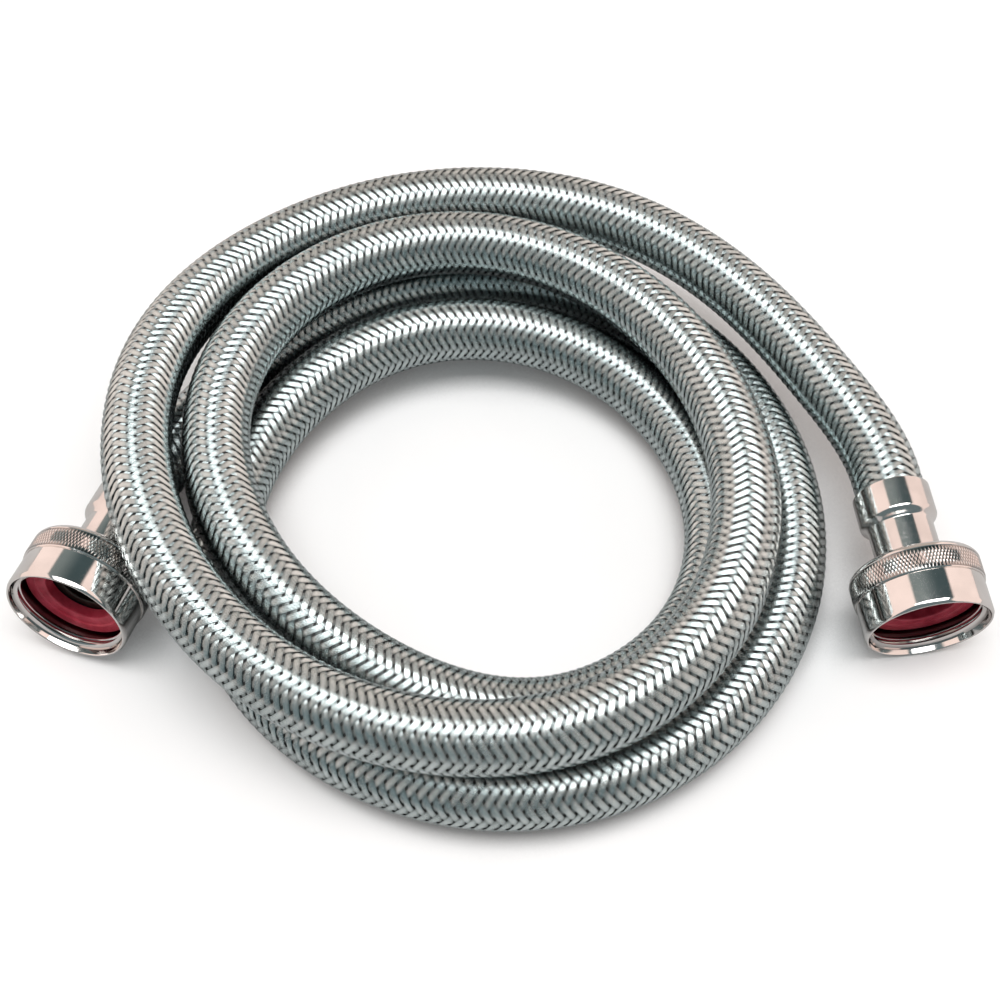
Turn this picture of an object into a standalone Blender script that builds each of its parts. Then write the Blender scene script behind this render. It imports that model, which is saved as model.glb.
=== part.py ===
# Braided stainless steel supply hose, coiled, with a coupling nut on each end.
# It lies on the plane z = 0 and the origin is the middle of its outline on that plane.

import math

import bmesh
import bpy
import numpy as np
from mathutils import Matrix, Vector

mm = 0.001

# The clearance left between pieces that touch on the real hose
piece_gap = 0.3 * mm

# Hose: a woven steel sleeve over a rubber tube
hose_radius = 8.25 * mm
hose_sides = 12
braid_wall = 0.6 * mm
tube_wall = 1.6 * mm
tube_sides = 8
line_points = 80
end_step = 10.0 * mm

# Coupling nut, measured back from its open rim and out from the root of its inside thread
thread_radius = 13.5 * mm
skirt_wall = 1.2 * mm
rim_set_in = 0.3 * mm
knurl_step = 0.5 * mm
skirt_length = 8.6 * mm
knurl_length = 7.0 * mm
rim_round = 0.5 * mm
knurl_edge = 0.2 * mm
shoulder_round = 2.0 * mm
mouth_chamfer = 0.3 * mm
lip_thickness = 2.2 * mm
lip_clearance = 0.4 * mm
nut_sides = 48

# Sealing washer, pressed deep into the nut
washer_depth = 5.7 * mm
washer_clearance = 0.8 * mm
washer_hole = 8.0 * mm
washer_thickness = 3.2 * mm
washer_round = 0.35 * mm

# Stem: flange behind the washer, neck, then the tail inside the rubber tube
flange_set_in = 1.7 * mm
flange_thickness = 1.6 * mm
stem_wall = 0.85 * mm
tail_wall = 0.9 * mm
bore_taper = 2.0 * mm

# Crimped sleeve: a neck that runs into the nut, a shoulder, and a collar over the hose
neck_radius = 7.6 * mm
neck_length = 10.9 * mm
sleeve_wall = 0.55 * mm
shoulder_length = 1.1 * mm
collar_wall = 0.61 * mm
collar_length = 9.0 * mm
collar_round = 0.35 * mm
ring_sides = 36

# Centre line of the hose in millimetres, from the right fitting round the coil to the left one
route = [
    (94.3, -17.8, 17.0),
    (93.4, -10.9, 17.6),
    (92.5, -4.0, 18.2),
    (81.6, 21.4, 20.1),
    (61.8, 51.2, 21.6),
    (34.6, 73.4, 22.8),
    (0.0, 82.3, 23.6),
    (-35.4, 76.9, 23.8),
    (-64.6, 58.2, 24.9),
    (-82.4, 26.4, 29.3),
    (-83.5, -10.5, 32.1),
    (-70.1, -42.7, 31.2),
    (-44.9, -66.5, 28.3),
    (-11.2, -77.4, 26.5),
    (23.5, -71.6, 26.8),
    (48.7, -46.9, 26.6),
    (57.2, -12.3, 26.1),
    (48.7, 22.6, 26.0),
    (26.6, 50.3, 25.9),
    (-6.2, 63.5, 26.0),
    (-40.1, 55.4, 25.9),
    (-63.1, 28.9, 26.0),
    (-66.7, -5.3, 26.6),
    (-52.0, -37.8, 24.1),
    (-24.4, -57.6, 14.9),
    (9.9, -63.2, 8.6),
    (40.9, -46.6, 8.9),
    (52.9, -13.6, 8.6),
    (42.3, 19.9, 9.5),
    (14.2, 41.3, 12.6),
    (-21.2, 42.6, 14.0),
    (-50.4, 23.7, 12.0),
    (-65.8, -8.7, 8.9),
    (-61.0, -43.0, 8.5),
    (-37.6, -70.0, 8.5),
    (-4.2, -82.1, 8.5),
    (30.6, -76.0, 8.5),
    (57.6, -53.0, 8.5),
    (70.2, -19.7, 8.5),
    (66.4, 15.7, 8.6),
    (47.3, 45.5, 8.6),
    (16.4, 63.2, 8.6),
    (-19.3, 64.4, 8.9),
    (-50.8, 48.7, 8.5),
    (-74.1, 21.5, 9.1),
    (-86.2, -3.5, 12.2),
    (-88.3, -10.1, 12.9),
    (-90.3, -16.8, 13.7),
]

# Radii and stations that follow from the sizes above
hose_flat = hose_radius * math.cos(math.pi / hose_sides)
tube_radius = hose_flat - braid_wall - piece_gap
tube_bore = tube_radius * math.cos(math.pi / tube_sides) - tube_wall
tail_radius = tube_bore - piece_gap
collar_bore = hose_radius + 0.8 * piece_gap
collar_radius = collar_bore + collar_wall
neck_bore = neck_radius - sleeve_wall
stem_radius = neck_bore - piece_gap
skirt_radius = thread_radius + skirt_wall
rim_radius = skirt_radius - rim_set_in
knurl_radius = skirt_radius + knurl_step
washer_radius = thread_radius - washer_clearance
flange_radius = washer_radius - flange_set_in
nut_length = skirt_length + knurl_length
flange_front = washer_depth + washer_thickness + piece_gap
flange_back = flange_front + flange_thickness
sleeve_front = flange_back + piece_gap
shoulder_at = nut_length + neck_length
step_at = shoulder_at + shoulder_length
hose_at = step_at + piece_gap
sleeve_end = shoulder_at + collar_length


def clear_scene():
    for item in list(bpy.data.objects):
        bpy.data.objects.remove(item, do_unlink=True)


def material(name, colour, metallic, roughness):
    made = bpy.data.materials.new(name)
    made.use_nodes = True
    shader = made.node_tree.nodes["Principled BSDF"]
    shader.inputs["Base Color"].default_value = (*colour, 1.0)
    shader.inputs["Metallic"].default_value = metallic
    shader.inputs["Roughness"].default_value = roughness
    return made


def natural_spline(knots, values, at):
    # The smooth line through the points, with no bend at its two ends
    step = np.diff(knots)
    slope = np.diff(values, axis=0) / step[:, None]
    count = len(knots)
    matrix = np.eye(count)
    right = np.zeros_like(values)
    for i in range(1, count - 1):
        matrix[i, i - 1 : i + 2] = (step[i - 1], 2 * (step[i - 1] + step[i]), step[i])
        right[i] = 6 * (slope[i] - slope[i - 1])
    bend = np.linalg.solve(matrix, right)
    part = np.clip(np.searchsorted(knots, at, side="right") - 1, 0, count - 2)
    width = step[part][:, None]
    left = (knots[part + 1] - at)[:, None]
    gone = (at - knots[part])[:, None]
    straight = values[part] * left / width + values[part + 1] * gone / width
    curved = bend[part] * (left**3 / width - width * left) / 6
    return straight + curved + bend[part + 1] * (gone**3 / width - width * gone) / 6


def spaced_line(points, count):
    # Evenly spaced points along the smooth line, with two short steps inside each fitting
    chords = np.linalg.norm(np.diff(points, axis=0), axis=1)
    knots = np.concatenate([[0.0], np.cumsum(chords)])
    fine = natural_spline(knots, points, np.linspace(0.0, knots[-1], 4001))
    run = np.concatenate([[0.0], np.cumsum(np.linalg.norm(np.diff(fine, axis=0), axis=1))])
    middle = np.linspace(2 * end_step, run[-1] - 2 * end_step, count - 4)
    stations = np.concatenate([[0.0, end_step], middle, [run[-1] - end_step, run[-1]]])
    return np.stack([np.interp(stations, run, fine[:, axis]) for axis in range(3)], axis=1)


def hollow_hose(name, points, radius, sides, wall, finish):
    curve = bpy.data.curves.new(name, "CURVE")
    curve.dimensions = "3D"
    curve.bevel_depth = radius
    curve.bevel_resolution = (sides - 4) // 2
    spline = curve.splines.new("POLY")
    spline.points.add(len(points) - 1)
    for knot, point in zip(spline.points, points):
        knot.co = (*point, 1.0)
    hose = bpy.data.objects.new(name, curve)
    bpy.context.scene.collection.objects.link(hose)
    curve.materials.append(finish)
    skin = hose.modifiers.new("wall", "SOLIDIFY")
    skin.thickness = wall
    skin.offset = -1.0
    skin.use_even_offset = True
    return hose


def turned_ring(name, outline, sides, place, finish):
    # Turns a closed outline of (radius, distance back from the rim) about the fitting's axis
    shape = bmesh.new()
    rings = []
    for step in range(sides):
        angle = 2 * math.pi * step / sides
        across = (math.cos(angle), math.sin(angle))
        rings.append([shape.verts.new((r * across[0], r * across[1], -back)) for r, back in outline])
    for step in range(sides):
        here = rings[step]
        there = rings[(step + 1) % sides]
        for i in range(len(outline)):
            j = (i + 1) % len(outline)
            shape.faces.new((here[i], here[j], there[j], there[i]))
    bmesh.ops.recalc_face_normals(shape, faces=shape.faces)
    mesh = bpy.data.meshes.new(name)
    shape.to_mesh(mesh)
    shape.free()
    mesh.shade_smooth()
    mesh.set_sharp_from_angle(angle=math.radians(35))
    mesh.materials.append(finish)
    ring = bpy.data.objects.new(name, mesh)
    ring.matrix_world = place
    bpy.context.scene.collection.objects.link(ring)
    return ring


def fitting_place(end, inner):
    # The fitting's own frame: origin at the middle of the nut's rim, +Z out of its mouth
    outward = (Vector(end) - Vector(inner)).normalized()
    side = Vector((0, 0, 1)).cross(outward).normalized()
    turn = Matrix((side, outward.cross(side), outward)).transposed().to_4x4()
    return Matrix.Translation(Vector(end) + outward * hose_at) @ turn


def nut_outline():
    lip_at = nut_length - lip_thickness
    lip_hole = neck_radius + lip_clearance
    outline = [(thread_radius + mouth_chamfer, 0.0), (rim_radius, 0.0)]
    outline += [(skirt_radius - 0.3 * rim_round, 0.4 * rim_round), (skirt_radius, 2 * rim_round)]
    outline += [(skirt_radius, skirt_length), (knurl_radius - knurl_edge, skirt_length)]
    outline += [(knurl_radius, skirt_length + knurl_edge)]
    for step in range(5):
        angle = math.radians(90 * step / 4)
        radius = knurl_radius - shoulder_round * (1 - math.cos(angle))
        outline.append((radius, nut_length - shoulder_round * (1 - math.sin(angle))))
    outline += [(lip_hole, nut_length), (lip_hole, lip_at)]
    return outline + [(thread_radius, lip_at), (thread_radius, mouth_chamfer)]


def washer_outline():
    back = washer_depth + washer_thickness
    outline = [(washer_hole, back), (washer_hole, washer_depth + washer_round)]
    outline += [(washer_hole + washer_round, washer_depth), (washer_radius - washer_round, washer_depth)]
    return outline + [(washer_radius, washer_depth + washer_round), (washer_radius, back)]


def stem_outline():
    bore = stem_radius - stem_wall
    tail_bore = tail_radius - tail_wall
    taper_end = step_at - stem_wall
    outline = [(bore, flange_front), (flange_radius, flange_front), (flange_radius, flange_back)]
    outline += [(stem_radius, flange_back), (stem_radius, step_at - piece_gap)]
    outline += [(tail_radius, step_at - piece_gap), (tail_radius, sleeve_end)]
    return outline + [(tail_bore, sleeve_end), (tail_bore, taper_end), (bore, taper_end - bore_taper)]


def sleeve_outline():
    rise = collar_radius - neck_radius
    outline = [(neck_radius, sleeve_front), (neck_radius, shoulder_at - 0.3 * shoulder_length)]
    outline += [(neck_radius + 0.6 * rise, shoulder_at + 0.2 * shoulder_length)]
    outline += [(neck_radius + 0.92 * rise, shoulder_at + 0.7 * shoulder_length)]
    outline += [(collar_radius, shoulder_at + 1.4 * shoulder_length)]
    outline += [(collar_radius, sleeve_end - collar_round)]
    outline += [(collar_radius - 0.4 * collar_round, sleeve_end)]
    outline += [(collar_bore, sleeve_end), (collar_bore, step_at), (neck_bore, step_at)]
    return outline + [(neck_bore, sleeve_front)]


clear_scene()

steel_braid = material("woven_steel", (0.62, 0.60, 0.58), 0.9, 0.32)
rubber_tube = material("tube_rubber", (0.02, 0.02, 0.022), 0.0, 0.6)
nut_plate = material("nut_plating", (0.74, 0.71, 0.68), 1.0, 0.15)
sleeve_plate = material("sleeve_steel", (0.70, 0.67, 0.64), 1.0, 0.2)
stem_metal = material("stem_metal", (0.55, 0.52, 0.47), 1.0, 0.35)
washer_rubber = material("washer_rubber", (0.42, 0.03, 0.04), 0.0, 0.45)

line = spaced_line(np.array(route) * mm, line_points)
hollow_hose("braid_sleeve", line, hose_radius, hose_sides, braid_wall, steel_braid)
hollow_hose("inner_tube", line, tube_radius, tube_sides, tube_wall, rubber_tube)

for side, end, inner in (("right", route[0], route[2]), ("left", route[-1], route[-3])):
    place = fitting_place(Vector(end) * mm, Vector(inner) * mm)
    turned_ring(f"{side}_nut", nut_outline(), nut_sides, place, nut_plate)
    turned_ring(f"{side}_washer", washer_outline(), ring_sides, place, washer_rubber)
    turned_ring(f"{side}_stem", stem_outline(), ring_sides, place, stem_metal)
    turned_ring(f"{side}_sleeve", sleeve_outline(), ring_sides, place, sleeve_plate)
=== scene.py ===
import math

import bpy
import numpy as np
from mathutils import Matrix, Vector


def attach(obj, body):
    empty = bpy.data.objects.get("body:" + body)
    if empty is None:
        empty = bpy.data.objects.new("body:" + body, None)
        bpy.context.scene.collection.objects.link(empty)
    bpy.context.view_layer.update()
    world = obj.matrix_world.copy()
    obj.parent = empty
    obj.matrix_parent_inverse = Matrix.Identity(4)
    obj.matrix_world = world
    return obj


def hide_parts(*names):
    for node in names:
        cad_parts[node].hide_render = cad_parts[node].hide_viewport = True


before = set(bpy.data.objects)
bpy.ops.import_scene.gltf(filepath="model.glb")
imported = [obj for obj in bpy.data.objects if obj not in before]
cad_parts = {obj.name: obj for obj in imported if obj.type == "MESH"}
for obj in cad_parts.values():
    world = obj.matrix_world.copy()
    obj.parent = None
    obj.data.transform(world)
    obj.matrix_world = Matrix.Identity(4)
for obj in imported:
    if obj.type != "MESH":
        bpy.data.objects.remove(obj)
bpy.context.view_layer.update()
mm = 0.001
print("frame loaded")


# The shader's socket arithmetic
class Value:
    def __init__(self, graph, socket):
        self.graph = graph
        self.socket = socket

    def math(self, kind, *others, clamp=False):
        node = self.graph.nodes.new("ShaderNodeMath")
        node.operation = kind
        node.use_clamp = clamp
        for slot, value in zip(node.inputs, (self, *others)):
            self.graph.join(value, slot)
        return Value(self.graph, node.outputs[0])

    def __add__(self, other):
        return self.math("ADD", other)

    def __sub__(self, other):
        return self.math("SUBTRACT", other)

    def __mul__(self, other):
        return self.math("MULTIPLY", other)

    def __radd__(self, other):
        return self.math("ADD", other)

    def __rmul__(self, other):
        return self.math("MULTIPLY", other)

    def __rsub__(self, other):
        return self * -1.0 + other

    def ramp(self, low, high, toLow=0.0, toHigh=1.0):
        settings = {"interpolation_type": "SMOOTHSTEP"}
        inputs = {"Value": self, "From Min": low, "From Max": high, "To Min": toLow, "To Max": toHigh}
        return self.graph.add("MapRange", settings, inputs)["Result"]


class Outputs:
    def __init__(self, graph, node):
        self.graph = graph
        self.node = node

    def __getitem__(self, name):
        return Value(self.graph, self.node.outputs[name])


class Graph:
    def __init__(self, owner):
        owner.use_nodes = True
        self.tree = owner.node_tree
        self.nodes = self.tree.nodes

    def join(self, value, socket):
        if isinstance(value, Value):
            self.tree.links.new(value.socket, socket)
        elif isinstance(value, (tuple, list)) and len(value) == 3 and socket.type == "RGBA":
            socket.default_value = (*value, 1.0)
        else:
            socket.default_value = value

    def add(self, kind, settings=None, inputs=None):
        node = self.nodes.new("ShaderNode" + kind)
        for name, value in (settings or {}).items():
            setattr(node, name, value)
        for name, value in (inputs or {}).items():
            self.join(value, node.inputs[name])
        return Outputs(self, node)

    def place(self):
        return self.add("TexCoord")["Object"]

    # How much painted shade a point gets in grooves, dips and hollows, as its mesh says
    def depth(self):
        return self.add("Attribute", {"attribute_name": "depth"})["Fac"]

    # How open a point lies to its surroundings, from 0 to 1
    def openness(self, reach):
        return self.add("AmbientOcclusion", {"samples": 4}, {"Distance": reach})["AO"]

    def noise(self, scale, detail=3.0, rough=0.55):
        inputs = {"Vector": self.place(), "Scale": scale, "Detail": detail, "Roughness": rough}
        return self.add("TexNoise", None, inputs)["Fac"]

    def blend(self, amount, first, second):
        node = self.nodes.new("ShaderNodeMix")
        node.data_type = "RGBA"
        self.join(amount, node.inputs["Factor"])
        self.join(first, node.inputs["A"])
        self.join(second, node.inputs["B"])
        colours = [s for s in node.outputs if s.type == "RGBA"]
        return Value(self, colours[0])

    def bump(self, height, strength, distance):
        inputs = {"Height": height, "Strength": strength, "Distance": distance}
        return self.add("Bump", None, inputs)["Normal"]


# A material made from constants on the shader's own sockets and from what varies
def makeMaterial(name, constants, vary):
    made = bpy.data.materials.new(name)
    graph = Graph(made)
    shader = graph.nodes["Principled BSDF"]
    for socket, value in constants.items():
        graph.join(value, shader.inputs[socket])
    for socket, value in vary(graph).items():
        graph.join(value, shader.inputs[socket])
    return made


def dress(piece, material):
    piece.data.materials.clear()
    piece.data.materials.append(material)


# Camera at the photograph's place: 56 degrees down onto the coil
camera = {
    "place": (0.2 * mm, -211.07 * mm, 313.0 * mm),
    "tilt": 34.0,
    "lens": 53.9,
    "sensor": 36.0,
    "near": 0.01,
}


def makeCamera():
    lens = bpy.data.cameras.new("photoCamera")
    lens.sensor_width = camera["sensor"]
    lens.lens = camera["lens"]
    lens.clip_start = camera["near"]
    eye = bpy.data.objects.new("photoCamera", lens)
    eye.location = camera["place"]
    eye.rotation_euler = (math.radians(camera["tilt"]), 0.0, 0.0)
    bpy.context.scene.collection.objects.link(eye)
    bpy.context.scene.camera = eye


makeCamera()
print("camera placed")

# Centre line of the hose in millimetres, the same points as in the part's source
route = [
    (94.3, -17.8, 17.0),
    (93.4, -10.9, 17.6),
    (92.5, -4.0, 18.2),
    (81.6, 21.4, 20.1),
    (61.8, 51.2, 21.6),
    (34.6, 73.4, 22.8),
    (0.0, 82.3, 23.6),
    (-35.4, 76.9, 23.8),
    (-64.6, 58.2, 24.9),
    (-82.4, 26.4, 29.3),
    (-83.5, -10.5, 32.1),
    (-70.1, -42.7, 31.2),
    (-44.9, -66.5, 28.3),
    (-11.2, -77.4, 26.5),
    (23.5, -71.6, 26.8),
    (48.7, -46.9, 26.6),
    (57.2, -12.3, 26.1),
    (48.7, 22.6, 26.0),
    (26.6, 50.3, 25.9),
    (-6.2, 63.5, 26.0),
    (-40.1, 55.4, 25.9),
    (-63.1, 28.9, 26.0),
    (-66.7, -5.3, 26.6),
    (-52.0, -37.8, 24.1),
    (-24.4, -57.6, 14.9),
    (9.9, -63.2, 8.6),
    (40.9, -46.6, 8.9),
    (52.9, -13.6, 8.6),
    (42.3, 19.9, 9.5),
    (14.2, 41.3, 12.6),
    (-21.2, 42.6, 14.0),
    (-50.4, 23.7, 12.0),
    (-65.8, -8.7, 8.9),
    (-61.0, -43.0, 8.5),
    (-37.6, -70.0, 8.5),
    (-4.2, -82.1, 8.5),
    (30.6, -76.0, 8.5),
    (57.6, -53.0, 8.5),
    (70.2, -19.7, 8.5),
    (66.4, 15.7, 8.6),
    (47.3, 45.5, 8.6),
    (16.4, 63.2, 8.6),
    (-19.3, 64.4, 8.9),
    (-50.8, 48.7, 8.5),
    (-74.1, 21.5, 9.1),
    (-86.2, -3.5, 12.2),
    (-88.3, -10.1, 12.9),
    (-90.3, -16.8, 13.7),
]

hose = {"radius": 8.25 * mm, "fineSteps": 4001, "cordSteps": 400}
# The hose ends this far back from the nut's rim, as in the part's source
fitting = {"hoseAt": 27.9 * mm}


def naturalSpline(knots, values, at):
    step = np.diff(knots)
    slope = np.diff(values, axis=0) / step[:, None]
    count = len(knots)
    matrix = np.eye(count)
    right = np.zeros_like(values)
    for i in range(1, count - 1):
        matrix[i, i - 1 : i + 2] = (step[i - 1], 2 * (step[i - 1] + step[i]), step[i])
        right[i] = 6 * (slope[i] - slope[i - 1])
    bend = np.linalg.solve(matrix, right)
    part = np.clip(np.searchsorted(knots, at, side="right") - 1, 0, count - 2)
    width = step[part][:, None]
    left = (knots[part + 1] - at)[:, None]
    gone = (at - knots[part])[:, None]
    straight = values[part] * left / width + values[part + 1] * gone / width
    curved = bend[part] * (left**3 / width - width * left) / 6
    return straight + curved + bend[part + 1] * (gone**3 / width - width * gone) / 6


def unit(rows):
    return rows / np.linalg.norm(rows, axis=-1, keepdims=True)


# The hose's line with a frame carried along it that never twists about it
class HoseLine:
    def __init__(self):
        points = np.array(route) * mm
        knots = np.concatenate([[0.0], np.cumsum(np.linalg.norm(np.diff(points, axis=0), axis=1))])
        fine = naturalSpline(knots, points, np.linspace(0.0, knots[-1], hose["fineSteps"]))
        steps = np.linalg.norm(np.diff(fine, axis=0), axis=1)
        self.run = np.concatenate([[0.0], np.cumsum(steps)])
        self.length = self.run[-1]
        self.points = fine
        along = unit(np.gradient(fine, self.run, axis=0))
        side = np.zeros_like(fine)
        side[0] = unit(np.cross(along[0], (0.0, 0.0, 1.0)))
        for i in range(1, len(fine)):
            lean = side[i - 1] - along[i] * (side[i - 1] @ along[i])
            side[i] = lean / np.linalg.norm(lean)
        self.side = side
        self.up = np.cross(side, along)

    def read(self, rows, at):
        return np.stack([np.interp(at, self.run, rows[:, k]) for k in range(3)], axis=-1)

    def surface(self, at, angle, radius):
        centre = self.read(self.points, at)
        side = self.read(self.side, at)
        up = self.read(self.up, at)
        return centre + radius[..., None] * (
            np.cos(angle)[..., None] * side + np.sin(angle)[..., None] * up
        )


line = HoseLine()
print("hose line", round(line.length, 4))


# Each point's painted shade, from 0 at a groove's top to 1 deep in it, for the materials
def markPaintedShade(mesh, values):
    mark = mesh.attributes.new("depth", "FLOAT", "POINT")
    mark.data.foreach_set("value", np.asarray(values, dtype=np.float32))


def meshObject(name, vertices, quads, smooth=True):
    mesh = bpy.data.meshes.new(name)
    mesh.vertices.add(len(vertices))
    mesh.vertices.foreach_set("co", np.asarray(vertices, dtype=np.float32).ravel())
    quads = np.asarray(quads, dtype=np.int32)
    mesh.loops.add(quads.size)
    mesh.loops.foreach_set("vertex_index", quads.ravel())
    mesh.polygons.add(len(quads))
    mesh.polygons.foreach_set("loop_start", np.arange(0, quads.size, quads.shape[1], dtype=np.int32))
    mesh.update(calc_edges=True)
    mesh.validate()
    if smooth:
        mesh.shade_smooth()
    made = bpy.data.objects.new(name, mesh)
    bpy.context.scene.collection.objects.link(made)
    return made


# Woven sleeve: twelve bands each way, five wires a band, each band over two and under two
braid = {
    "bands": 12,
    "wires": 5,
    "wire": 0.28 * mm,
    "pitch": 0.275 * mm,
    "lay": 27.0 * mm,
    "middle": 7.98 * mm,
    "rise": 0.12 * mm,
    "crown": 0.12 * mm,
    "edgeDrop": 0.05 * mm,
    "ease": 0.2,
    "endGap": 0.3 * mm,
    "groups": 3,
    "dipShade": 0.6,
    "edgeShade": 0.3,
    "seamShade": 0.28,
}


# One wire's points along the hose: where it rises over two bands and dips under two
def wirePoints(sense, band, wire):
    bands = braid["bands"]
    ease = braid["ease"]
    crossing = braid["lay"] / (2 * bands)
    slant = math.atan2(2 * math.pi * braid["middle"], braid["lay"])
    spread = (wire - (braid["wires"] - 1) / 2) * braid["pitch"] / math.sin(slant)
    # the weave repeats every four crossings, and each band starts two on from the last
    first = (-2 * band) % 4 if sense > 0 else (2 * band + 1) % 4
    periods = np.arange(-1, int(line.length / crossing / 4) + 2) * 4 + first
    counts = (periods[:, None] + np.array([-ease, 1 + ease, 2 - ease, 3 + ease])).ravel()
    over = np.tile([1.0, 1.0, -1.0, -1.0], len(periods))
    at = counts * crossing + spread / 2
    inside = (at > braid["endGap"]) & (at < line.length - braid["endGap"])
    at = at[inside]
    over = over[inside]
    angle = 2 * math.pi * (band / bands + sense * (at - spread) / braid["lay"])
    return at, angle, over, slant


def makeBraid(sense, group):
    vertices = []
    quads = []
    depths = []
    total = 0
    half = braid["wire"] / 2
    middle = braid["middle"]
    size = braid["bands"] // braid["groups"]
    centre = (braid["wires"] - 1) / 2
    for band in range(group * size, (group + 1) * size):
        for wire in range(braid["wires"]):
            at, angle, over, slant = wirePoints(sense, band, wire)
            # a band is rounded across, so its outer wires lie lower
            across = (wire - centre) / centre
            radius = middle + over * braid["rise"] - braid["edgeDrop"] * across * across
            tilt = braid["edgeDrop"] * across / centre
            shiftAt = -sense * half * math.sin(slant)
            shiftAngle = half * math.cos(slant) / middle
            rows = [
                line.surface(at - shiftAt, angle - shiftAngle, radius - tilt * sense),
                line.surface(at, angle, radius + braid["crown"]),
                line.surface(at + shiftAt, angle + shiftAngle, radius + tilt * sense),
            ]
            count = len(at)
            vertices.append(np.stack(rows, axis=1).reshape(-1, 3))
            # seams between wires, the dips under other bands and a band's outer wires get painted shade
            seam = np.tile([braid["seamShade"], 0.0, braid["seamShade"]], count)
            dip = np.repeat(0.5 - 0.5 * over, 3) * braid["dipShade"]
            depths.append(dip + braid["edgeShade"] * across * across + seam)
            start = total + 3 * np.arange(count - 1)
            for column in (0, 1):
                a = start + column
                ring = (a, a + 1, a + 4, a + 3) if sense < 0 else (a, a + 3, a + 4, a + 1)
                quads.append(np.stack(ring, axis=1))
            total += 3 * count
    name = ("braidRight" if sense > 0 else "braidLeft") + str(group + 1)
    made = meshObject(name, np.concatenate(vertices), np.concatenate(quads))
    markPaintedShade(made.data, np.concatenate(depths))
    return made


braidPieces = [makeBraid(sense, group) for sense in (1, -1) for group in range(braid["groups"])]
for piece in braidPieces:
    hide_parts("braid_sleeve")
    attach(piece, "hose")
print("braid woven")

# Rubber tube under the weave, seen as black between the bands
tube = {"radius": 7.63 * mm, "wall": 1.6 * mm, "rings": 440, "sides": 24}


def makeTube():
    at = np.linspace(0.0, line.length, tube["rings"])
    angles = np.linspace(0.0, 2 * math.pi, tube["sides"], endpoint=False)
    grid = np.meshgrid(at, angles, indexing="ij")
    outer = line.surface(grid[0], grid[1], np.full_like(grid[0], tube["radius"]))
    inner = line.surface(grid[0], grid[1], np.full_like(grid[0], tube["radius"] - tube["wall"]))
    sides = tube["sides"]
    rings = tube["rings"]
    ring = np.arange(rings - 1)[:, None] * sides
    here = np.arange(sides)[None, :]
    there = (here + 1) % sides
    shell = np.stack([ring + here, ring + there, ring + there + sides, ring + here + sides], axis=-1)
    shell = shell.reshape(-1, 4)
    offset = rings * sides
    quads = [shell, shell[:, ::-1] + offset]
    for base, turn in ((0, 1), ((rings - 1) * sides, -1)):
        cap = np.stack(
            [base + here[0], base + here[0] + offset, base + there[0] + offset, base + there[0]], axis=-1
        )
        quads.append(cap[:, ::turn])
    vertices = np.concatenate([outer.reshape(-1, 3), inner.reshape(-1, 3)])
    return meshObject("innerTube", vertices, np.concatenate(quads))


innerTube = makeTube()
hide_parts("inner_tube")
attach(innerTube, "hose")
print("inner tube made")


# The fitting's own frame: origin at the middle of the nut's rim, +Z out of its mouth
def fittingPlace(end, inner):
    outward = (Vector(end) - Vector(inner)).normalized()
    side = Vector((0, 0, 1)).cross(outward).normalized()
    turn = Matrix((side, outward.cross(side), outward)).transposed()
    return Matrix.Translation(Vector(end) + outward * fitting["hoseAt"]) @ turn.to_4x4()


places = {
    "right": fittingPlace(Vector(route[0]) * mm, Vector(route[2]) * mm),
    "left": fittingPlace(Vector(route[-1]) * mm, Vector(route[-3]) * mm),
}


# Two extra rows near the ends of each long straight run, so it stays straight when shaded smooth
def steadied(rows, longer=0.9 * mm, inset=0.12 * mm):
    made = [rows[0]]
    for last, row in zip(rows, rows[1:]):
        length = math.dist(last, row)
        if length > longer:
            for share in (inset / length, 1 - inset / length):
                made.append(tuple(a + (b - a) * share for a, b in zip(last, row)))
        made.append(row)
    return made


# Rows of (radius, distance back) turned about the axis, all with one amount of painted shade
def turnedRows(rows, sides, depth=0.0):
    rows = steadied(rows)
    angles = np.linspace(0.0, 2 * math.pi, sides, endpoint=False)
    radius = np.array([r for r, _ in rows])[:, None]
    back = np.array([b for _, b in rows])[:, None]
    flat = np.ones_like(angles)[None, :]
    grid = np.stack([radius * np.cos(angles), radius * np.sin(angles), -back * flat], axis=-1)
    here = np.arange(sides)
    there = (here + 1) % sides
    quads = []
    for i in range(len(rows) - 1):
        near = i * sides
        far = near + sides
        quads.append(np.stack([near + here, near + there, far + there, far + here], axis=1))
    return grid.reshape(-1, 3), np.concatenate(quads), depth


# An arc of outline points about (radius, back), from one angle to another in degrees
def arc(radius, back, size, start, stop, count=6):
    angles = np.radians(np.linspace(start, stop, count))
    return [(radius + size * math.cos(a), back + size * math.sin(a)) for a in angles]


# Each shell is its points, its faces and how much painted shade each point gets, from 0 to 1
def joinShells(name, shells, place, sharp=40.0):
    vertices = []
    faces = []
    depths = []
    total = 0
    for points, polygons, depth in shells:
        vertices.append(np.asarray(points))
        depths.append(np.broadcast_to(depth, len(points)))
        faces += [[int(v) + total for v in face] for face in polygons]
        total += len(points)
    mesh = bpy.data.meshes.new(name)
    mesh.from_pydata(np.concatenate(vertices).tolist(), [], faces)
    mesh.transform(place)
    mesh.update()
    mesh.shade_smooth()
    mesh.set_sharp_from_angle(angle=math.radians(sharp))
    markPaintedShade(mesh, np.concatenate(depths))
    made = bpy.data.objects.new(name, mesh)
    bpy.context.scene.collection.objects.link(made)
    return made


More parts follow.
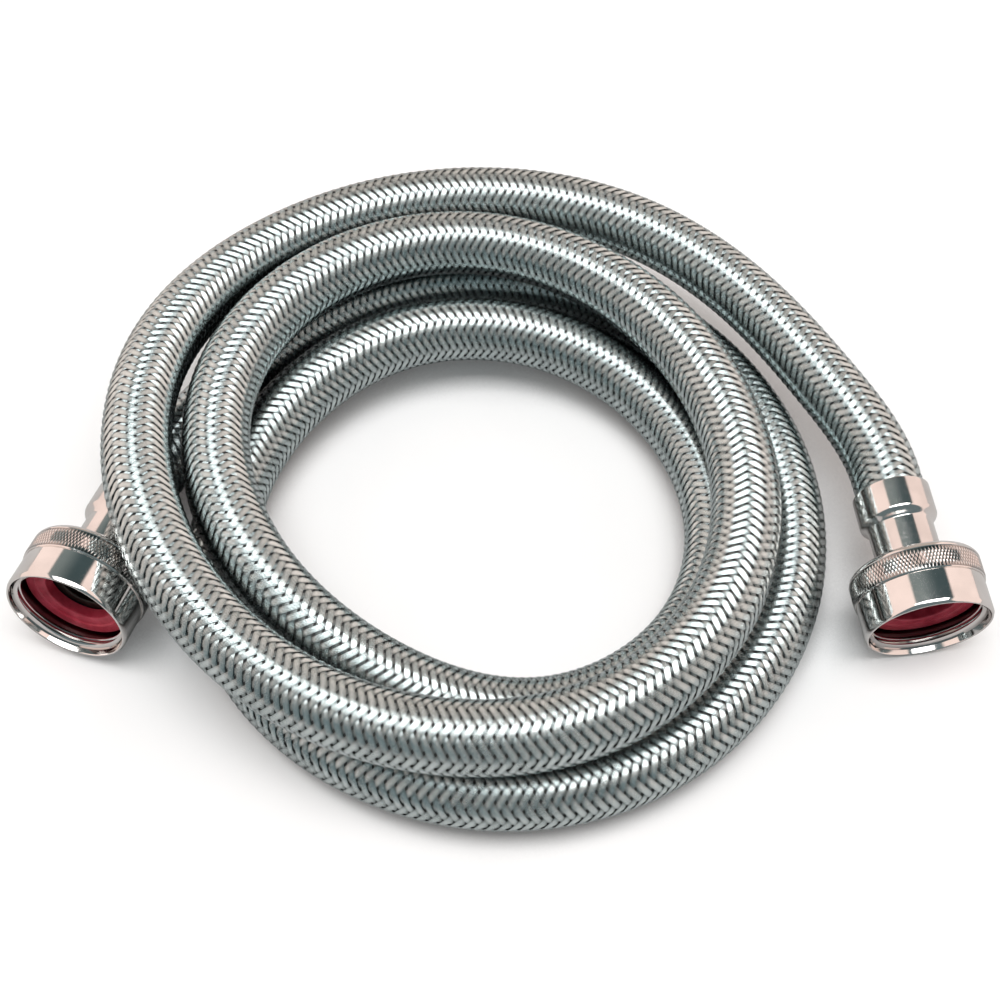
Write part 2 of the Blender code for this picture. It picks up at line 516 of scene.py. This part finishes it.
# Coupling nut: mouth, rim, skirt, groove, rounded back and lip, with its angles in degrees
nut = {
    "rim": 14.4 * mm,
    "rimRound": 0.25 * mm,
    "rimFlat": 0.05 * mm,
    "mouthRound": 0.2 * mm,
    "mouth": 1.65 * mm,
    "skirt": 14.7 * mm,
    "skirtLength": 8.6 * mm,
    "flare": 0.05 * mm,
    "flareFrom": 0.75 * mm,
    "flareTo": 1.1 * mm,
    "groove": 0.1 * mm,
    "grooveFrom": 0.25 * mm,
    "grooveTo": 0.12 * mm,
    "length": 15.6 * mm,
    "shoulder": 2.0 * mm,
    "shoulderAngle": 12.0,
    "bore": 13.5 * mm,
    "boreShade": 0.75,
    "lip": 2.2 * mm,
    "lipHole": 8.0 * mm,
    "lipRound": 0.3 * mm,
    "sides": 120,
    "sharp": 30.0,
}

# Its knurled band: peaks on a grid of diamonds, with the grooves between them in shade
knurl = {
    "radius": 15.2 * mm,
    "diamonds": 120,
    "rows": 6,
    "deep": 0.13 * mm,
    "sink": 0.02 * mm,
    "edgeSink": 0.03 * mm,
    "tuck": 0.05 * mm,
    "step": 0.3 * mm,
    "frontGap": 0.2 * mm,
    "backLap": 0.3 * mm,
    "shade": 0.62,
}

# Its inside thread: half of a ridge's section, as shares of the pitch and of the ridge's height
thread = {
    "pitch": 2.209 * mm,
    "from": 0.25 * mm,
    "to": 5.5 * mm,
    "crest": 12.45 * mm,
    "lap": 0.02 * mm,
    "half": [(0.42, 0.0), (0.24, 0.22), (0.13, 0.78), (0.05, 1.0)],
    "halfWidth": 0.45,
    "stepsATurn": 96,
    "start": 0.6,
    "runOut": 6,
    "shade": 0.55,
}


def knurlShell():
    columns = 2 * knurl["diamonds"]
    rows = knurl["rows"]
    front = nut["skirtLength"] + knurl["frontGap"]
    back = nut["length"] - nut["shoulder"] + knurl["backLap"]
    column = np.arange(columns)[None, :]
    row = np.arange(rows + 1)[:, None]
    edge = (row == 0) | (row == rows)
    raised = ((row + column) % 2 == 1) & ~edge
    radius = knurl["radius"] - np.where(raised, 0.0, knurl["deep"]) - knurl["sink"]
    radius = radius - np.where(edge, knurl["edgeSink"], 0.0)
    angle = 2 * math.pi * column / columns + 0 * row
    depth = front + (back - front) * row / rows + 0 * column
    points = np.stack([radius * np.cos(angle), radius * np.sin(angle), -depth], axis=-1)
    groove = np.where(raised, 0.0, knurl["shade"]).ravel()
    faces = []
    for j in range(rows + 1):
        for i in range(columns):
            if (i + j) % 2 == 0:
                continue
            centre = j * columns + i
            left = j * columns + (i - 1) % columns
            right = j * columns + (i + 1) % columns
            if j > 0:
                faces.append((centre, left, centre - columns))
                faces.append((centre, centre - columns, right))
            if j < rows:
                faces.append((centre, centre + columns, left))
                faces.append((centre, right, centre + columns))
    return points.reshape(-1, 3), faces, groove


def threadShell():
    pitch = thread["pitch"]
    turns = (thread["to"] - thread["from"]) / pitch
    steps = int(turns * thread["stepsATurn"])
    share = np.linspace(0.0, 1.0, steps + 1)
    angle = 2 * math.pi * turns * share + thread["start"]
    centre = thread["from"] + thread["halfWidth"] * pitch
    centre = centre + (turns - 2 * thread["halfWidth"]) * pitch * share
    # the ridge grows out of the bore over the first and last sixth of a turn
    grow = np.clip(np.minimum(share, 1 - share) * turns * thread["runOut"], 0.0, 1.0)
    depth = (nut["bore"] - thread["crest"]) * grow
    section = [(-across, height) for across, height in thread["half"]] + thread["half"][::-1]
    rings = []
    groove = []
    for across, height in section:
        radius = nut["bore"] + thread["lap"] - depth * height
        back = centre + across * pitch
        rings.append(np.stack([radius * np.cos(angle), radius * np.sin(angle), -back], axis=-1))
        # the thread's grooves get painted shade, its crest none
        groove.append(np.full(steps + 1, thread["shade"] * (1 - height)))
    points = np.stack(rings, axis=1)
    width = len(section)
    faces = []
    for i in range(steps):
        for j in range(width - 1):
            a = i * width + j
            faces.append((a, a + width, a + width + 1, a + 1))
    return points.reshape(-1, 3), faces, np.stack(groove, axis=1).ravel()


# The bore behind the thread, from the lip's hole to the mouth
def nutBore():
    length = nut["length"]
    step = length - nut["lip"]
    rows = [(nut["lipHole"], length - nut["lipRound"]), (nut["lipHole"], step)]
    return rows + [(nut["bore"], step), (nut["bore"], nut["mouth"])]


# The tapered mouth, rim, skirt and the groove in front of the knurled band
def nutOutline():
    skirt = nut["skirt"]
    end = nut["skirtLength"]
    low = skirt - nut["groove"]
    outside = nut["rim"] - nut["rimRound"]
    inRound = nut["mouthRound"]
    rows = [(nut["bore"], nut["mouth"])]
    rows += arc(outside - nut["rimFlat"], inRound, inRound, -160, -90, 4)
    rows += arc(outside, nut["rimRound"], nut["rimRound"], -90, -20, 5)[1:]
    rows += [(skirt - nut["flare"], nut["flareFrom"]), (skirt, nut["flareTo"])]
    rows += [(skirt, end - nut["grooveFrom"]), (low, end - nut["grooveTo"]), (low, end)]
    rows += [(knurl["radius"] - knurl["step"], end)]
    return rows + [(knurl["radius"] - knurl["deep"] - knurl["tuck"], end + knurl["frontGap"])]


def nutBack():
    length = nut["length"]
    size = nut["shoulder"]
    lipRound = nut["lipRound"]
    rows = [(knurl["radius"] - knurl["deep"] - knurl["tuck"], length - size + knurl["backLap"])]
    rows += arc(knurl["radius"] - size, length - size, size, nut["shoulderAngle"], 90, 9)
    rows += arc(nut["lipHole"] + lipRound, length - lipRound, lipRound, 90, 180, 4)
    return rows


def makeNut(side):
    shells = [turnedRows(outline, nut["sides"]) for outline in (nutOutline(), nutBack())]
    # the bore inside the nut gets painted shade
    shells += [turnedRows(nutBore(), nut["sides"], nut["boreShade"]), knurlShell(), threadShell()]
    made = joinShells(side + "CouplingNut", shells, places[side], nut["sharp"])
    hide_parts(side + "_nut")
    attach(made, side + "_coupling")
    return made


# Red rubber washer. Its face steps down to the hole: places about the step, and shares of its fall
washer = {
    "depth": 5.7 * mm,
    "outer": 12.7 * mm,
    "hole": 8.0 * mm,
    "thick": 3.2 * mm,
    "round": 0.4 * mm,
    "fall": 0.5 * mm,
    "step": 10.3 * mm,
    "slope": [(-0.25 * mm, 0.8), (-0.1 * mm, 0.5), (0.05 * mm, 0.12), (0.25 * mm, 0.05)],
    "sides": 96,
}


def makeWasher(side):
    front = washer["depth"]
    size = washer["round"]
    rows = [(washer["hole"], front + washer["thick"])]
    rows += arc(washer["hole"] + size, front + washer["fall"] + size, size, 180, 270, 6)
    rows += [(washer["step"] + away, front + share * washer["fall"]) for away, share in washer["slope"]]
    rows += arc(washer["outer"] - size, front + size, size, 270, 360, 6)
    rows += [(washer["outer"], front + washer["thick"]), (washer["hole"], front + washer["thick"])]
    made = joinShells(side + "SealingWasher", [turnedRows(rows, washer["sides"])], places[side])
    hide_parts(side + "_washer")
    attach(made, side + "_coupling")
    return made


# Stem: flange behind the washer, neck and tail
stem = {
    "flange": 11.0 * mm,
    "front": 9.2 * mm,
    "thick": 1.6 * mm,
    "neck": 6.75 * mm,
    "bore": 5.9 * mm,
    "tail": 4.6 * mm,
    "tailBore": 3.7 * mm,
    "shoulder": 27.3 * mm,
    "taperFrom": 2.6 * mm,
    "taperTo": 0.6 * mm,
    "end": 35.5 * mm,
    "round": 0.3 * mm,
    "sides": 96,
}


def makeStem(side):
    back = stem["front"] + stem["thick"]
    size = stem["round"]
    rounded = stem["front"] + size
    rows = [(stem["tailBore"], stem["end"]), (stem["tailBore"], stem["shoulder"] - stem["taperTo"])]
    rows += [(stem["bore"], stem["shoulder"] - stem["taperFrom"]), (stem["bore"], rounded)]
    rows += arc(stem["bore"] + size, rounded, size, 180, 270, 4)
    rows += arc(stem["flange"] - size, rounded, size, 270, 360, 4)
    rows += [(stem["flange"], back), (stem["neck"], back), (stem["neck"], stem["shoulder"])]
    rows += [(stem["tail"], stem["shoulder"]), (stem["tail"], stem["end"]), (stem["tailBore"], stem["end"])]
    made = joinShells(side + "Stem", [turnedRows(rows, stem["sides"])], places[side])
    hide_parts(side + "_stem")
    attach(made, "hose")
    return made


# Crimped sleeve: neck, rounded shoulder and collar
sleeve = {
    "neck": 7.6 * mm,
    "front": 11.1 * mm,
    "shoulderFrom": 26.0 * mm,
    "collar": 9.1 * mm,
    "collarFrom": 28.2 * mm,
    "end": 35.5 * mm,
    "bore": 8.49 * mm,
    "wall": 0.55 * mm,
    "stepAt": 27.6 * mm,
    "round": 0.32 * mm,
    "roundFrom": 0.5 * mm,
    "shoulderRows": 11,
    "straightShare": 0.15,
    "swell": 1.3,
    "sides": 112,
}


def makeSleeve(side):
    rise = sleeve["collar"] - sleeve["neck"]
    run = sleeve["collarFrom"] - sleeve["shoulderFrom"]
    straight = sleeve["straightShare"]
    size = sleeve["round"]
    inside = sleeve["neck"] - sleeve["wall"]
    rows = [(sleeve["neck"], sleeve["front"])]
    for share in np.linspace(0.0, 1.0, sleeve["shoulderRows"]):
        lift = share * share * (3 - 2 * share)
        gone = straight * share + (1 - straight) * share ** sleeve["swell"]
        rows.append((sleeve["neck"] + rise * lift, sleeve["shoulderFrom"] + run * gone))
    rows += [(sleeve["collar"], sleeve["end"] - sleeve["roundFrom"])]
    rows += arc(sleeve["collar"] - size, sleeve["end"] - size, size, 0, 90, 5)
    rows += [(sleeve["bore"], sleeve["end"]), (sleeve["bore"], sleeve["stepAt"])]
    rows += [(inside, sleeve["stepAt"]), (inside, sleeve["front"]), (sleeve["neck"], sleeve["front"])]
    made = joinShells(side + "CrimpSleeve", [turnedRows(rows, sleeve["sides"])], places[side])
    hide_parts(side + "_sleeve")
    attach(made, "hose")
    return made


nuts = [makeNut(side) for side in places]
washers = [makeWasher(side) for side in places]
stems = [makeStem(side) for side in places]
sleeves = [makeSleeve(side) for side in places]
print("fittings made")

# Materials: colours from light to dark, a deep colour for painted shade in grooves and hollows, roughness
# from and to, and the scales of the two noises
metalLook = {
    "wire": {
        "light": (0.74, 0.82, 0.82),
        "dark": (0.60, 0.67, 0.67),
        "deep": (0.28, 0.32, 0.32),
        "shade": (0.05, 0.06, 0.06),
        "reach": 7.0 * mm,
        "open": (0.12, 0.5),
        "rough": (0.16, 0.3),
        "bump": 0.05,
        "scale": 160.0,
        "grain": 2400.0,
    },
    "nut": {
        "light": (0.86, 0.83, 0.81),
        "dark": (0.76, 0.73, 0.71),
        "deep": (0.14, 0.12, 0.11),
        "rough": (0.06, 0.12),
        "bump": 0.015,
        "scale": 90.0,
        "grain": 1500.0,
    },
    "sleeve": {
        "light": (0.82, 0.79, 0.77),
        "dark": (0.70, 0.67, 0.65),
        "deep": (0.1, 0.1, 0.1),
        "rough": (0.09, 0.17),
        "bump": 0.02,
        "scale": 90.0,
        "grain": 1300.0,
    },
    # the stem lies deep in the bore, so its metal colours are painted nearly black as shade
    "stem": {
        "light": (0.10, 0.09, 0.08),
        "dark": (0.05, 0.045, 0.04),
        "deep": (0.02, 0.02, 0.02),
        "rough": (0.4, 0.6),
        "bump": 0.06,
        "scale": 150.0,
        "grain": 1300.0,
    },
}
washerLook = {
    "dark": (0.54, 0.028, 0.06),
    "light": (0.74, 0.075, 0.125),
    "rough": (0.34, 0.5),
    "bump": 0.12,
    "scale": 260.0,
    "grain": 2600.0,
}
tubeLook = {
    "dark": (0.018, 0.02, 0.02),
    "light": (0.035, 0.038, 0.038),
    "rough": (0.6, 0.8),
    "grain": 900.0,
}
# The noises lie near their middle, so only this part of them is used
noiseSpan = (0.3, 0.7)
paintedShadeSpan = (0.1, 0.9)
bumpHeight = 0.1 * mm


def metalVary(look):
    def vary(graph):
        broad = graph.noise(look["scale"])
        fine = graph.noise(look["grain"], 2.0, 0.6)
        colour = graph.blend(broad.ramp(*noiseSpan), look["light"], look["dark"])
        # grooves, dips under bands and the nut's bore get painted shade in the deep colour
        colour = graph.blend(graph.depth().ramp(*paintedShadeSpan), colour, look["deep"])
        # wires that lie close to other turns are in their shade
        if "shade" in look:
            openness = graph.openness(look["reach"]).ramp(*look["open"])
            colour = graph.blend(openness, look["shade"], colour)
        rough = (broad * 0.5 + fine * 0.5).ramp(*noiseSpan, *look["rough"])
        normal = graph.bump(fine, look["bump"], bumpHeight)
        return {"Base Color": colour, "Roughness": rough, "Normal": normal}

    return vary


def washerVary(graph):
    broad = graph.noise(washerLook["scale"])
    fine = graph.noise(washerLook["grain"], 2.0)
    colour = graph.blend(broad.ramp(*noiseSpan), washerLook["dark"], washerLook["light"])
    rough = (broad * 0.4 + fine * 0.6).ramp(*noiseSpan, *washerLook["rough"])
    normal = graph.bump(fine, washerLook["bump"], bumpHeight)
    return {"Base Color": colour, "Roughness": rough, "Normal": normal}


def tubeVary(graph):
    fine = graph.noise(tubeLook["grain"], 2.0)
    colour = graph.blend(fine.ramp(*noiseSpan), tubeLook["dark"], tubeLook["light"])
    return {"Base Color": colour, "Roughness": fine.ramp(*noiseSpan, *tubeLook["rough"])}


metal = {"Metallic": 1.0}
wireSteel = makeMaterial("wireSteel", metal, metalVary(metalLook["wire"]))
nutPlate = makeMaterial("nutPlate", metal, metalVary(metalLook["nut"]))
sleeveSteel = makeMaterial("sleeveSteel", metal, metalVary(metalLook["sleeve"]))
stemMetal = makeMaterial("stemMetal", metal, metalVary(metalLook["stem"]))
washerRubber = makeMaterial("washerRubber", {}, washerVary)
tubeRubber = makeMaterial("tubeRubber", {}, tubeVary)

finishes = [
    (braidPieces, wireSteel, "woven_steel"),
    ([innerTube], tubeRubber, "tube_rubber"),
    (nuts, nutPlate, "nut_plating"),
    (washers, washerRubber, "washer_rubber"),
    (stems, stemMetal, "stem_metal"),
    (sleeves, sleeveSteel, "sleeve_steel"),
]
for group, material, slotName in finishes:
    for piece in group:
        dress(piece, material)
print("materials set")

# The white floor: darker to reflections than to the camera
floorLook = {
    "half": 6.0,
    "drop": 0.05 * mm,
    "light": (0.82, 0.82, 0.82),
    "dark": (0.78, 0.78, 0.78),
    "glow": (0.15, 0.15, 0.15),
    "aside": (0.52, 0.52, 0.52),
    "shade": (0.08, 0.08, 0.08),
    "reach": 18.0 * mm,
    "open": (0.12, 0.36),
    "scale": 30.0,
}


def makeFloor():
    half = floorLook["half"]
    low = -floorLook["drop"]
    rows = [(-half, -half, low), (half, -half, low), (half, half, low), (-half, half, low)]
    floor = meshObject("floor", rows, [(0, 1, 2, 3)], False)

    def vary(graph):
        fine = graph.noise(floorLook["scale"], 2.0)
        seen = graph.add("LightPath")["Is Camera Ray"]
        colour = graph.blend(fine, floorLook["light"], floorLook["dark"])
        colour = graph.blend(seen, floorLook["aside"], colour)
        # the floor between two close turns lies in their shade
        openness = graph.openness(floorLook["reach"]).ramp(*floorLook["open"])
        colour = graph.blend(openness, floorLook["shade"], colour)
        glow = graph.blend(seen * openness, (0.0, 0.0, 0.0), floorLook["glow"])
        return {"Base Color": colour, "Emission Color": glow}

    constants = {"Roughness": 0.9, "Specular IOR Level": 0.1, "Emission Strength": 1.0}
    dress(floor, makeMaterial("paleFloor", constants, vary))


# A soft light overhead, and what the metal mirrors, with edges in degrees from straight up
studio = {
    "top": {"place": (0.0, -0.08, 1.2), "size": (1.3, 0.6), "power": 7.0, "colour": (1.0, 1.0, 1.0)},
    "box": (3.6, 3.6, 3.6),
    "boxFront": -18.0,
    "boxBack": 12.0,
    "boxHalf": 19.0,
    "boxSoft": 1.5,
    "patch": (0.06, 0.09, 0.095),
    "patchLight": (0.21, 0.25, 0.245),
    "patchFade": (-22.0, 14.0),
    "patchTo": 52.0,
    "patchSoft": 4.0,
    "panel": (1.12, 0.92, 0.84),
    "panelFrom": 32.0,
    "panelSoft": 2.5,
    "back": (0.52, 0.45, 0.40),
    "front": (0.15, 0.195, 0.205),
    "below": (0.3, 0.3, 0.3),
    # where the panels end behind and in front, and the horizon, as parts of a direction of length one
    "panelBack": 1.7,
    "panelFront": 0.4,
    "panelEdge": 0.05,
    "horizon": (-0.1, 0.0),
}


def makeLight(name, place, size, power, colour):
    lamp = bpy.data.lights.new(name, "AREA")
    lamp.shape = "RECTANGLE"
    lamp.size, lamp.size_y = size
    lamp.energy = power
    lamp.color = colour
    made = bpy.data.objects.new(name, lamp)
    made.location = place
    made.rotation_euler = (-Vector(place)).to_track_quat("-Z", "Y").to_euler()
    bpy.context.scene.collection.objects.link(made)


# Softbox overhead, a dark patch behind it, pale panels at both sides, beige low behind, grey in front
def makeWorld():
    world = bpy.data.worlds.new("studio")
    bpy.context.scene.world = world
    graph = Graph(world)
    background = graph.nodes["Background"]
    way = graph.add("SeparateXYZ", None, {0: graph.add("TexCoord")["Generated"]})
    high = way["Z"]
    across = way["X"].math("ABSOLUTE")

    def degrees(value):
        return value.math("ARCTAN2", high) * (180 / math.pi)

    def step(value, at, soft=studio["boxSoft"]):
        return value.ramp(at - soft, at + soft)

    def positive(value):
        return value.ramp(-studio["panelEdge"], studio["panelEdge"])

    aside = degrees(across)
    behind = degrees(way["Y"])
    sideways = degrees(way["X"])
    # the panels stand at the sides only, and reach further round behind than in front
    sides = positive(across + way["Y"] * studio["panelBack"])
    sides = sides * positive(across - way["Y"] * studio["panelFront"])
    box = graph.blend(step(aside, studio["boxHalf"]), studio["box"], studio["front"])
    colour = graph.blend(step(behind, studio["boxFront"]), studio["front"], box)
    patch = graph.blend(sideways.ramp(*studio["patchFade"]), studio["patchLight"], studio["patch"])
    colour = graph.blend(step(behind, studio["boxBack"]), colour, patch)
    colour = graph.blend(step(behind, studio["patchTo"], studio["patchSoft"]), colour, studio["back"])
    panel = step(aside, studio["panelFrom"], studio["panelSoft"]) * sides
    colour = graph.blend(panel, colour, studio["panel"])
    colour = graph.blend(high.ramp(*studio["horizon"]), studio["below"], colour)
    seen = graph.add("LightPath")["Is Camera Ray"]
    graph.join(graph.blend(seen, colour, (1.0, 1.0, 1.0)), background.inputs["Color"])
    background.inputs["Strength"].default_value = 1.0


makeFloor()
top = studio["top"]
makeLight("topSoftbox", top["place"], top["size"], top["power"], top["colour"])
makeWorld()
bpy.context.scene.view_settings.view_transform = "Standard"
print("studio lit")
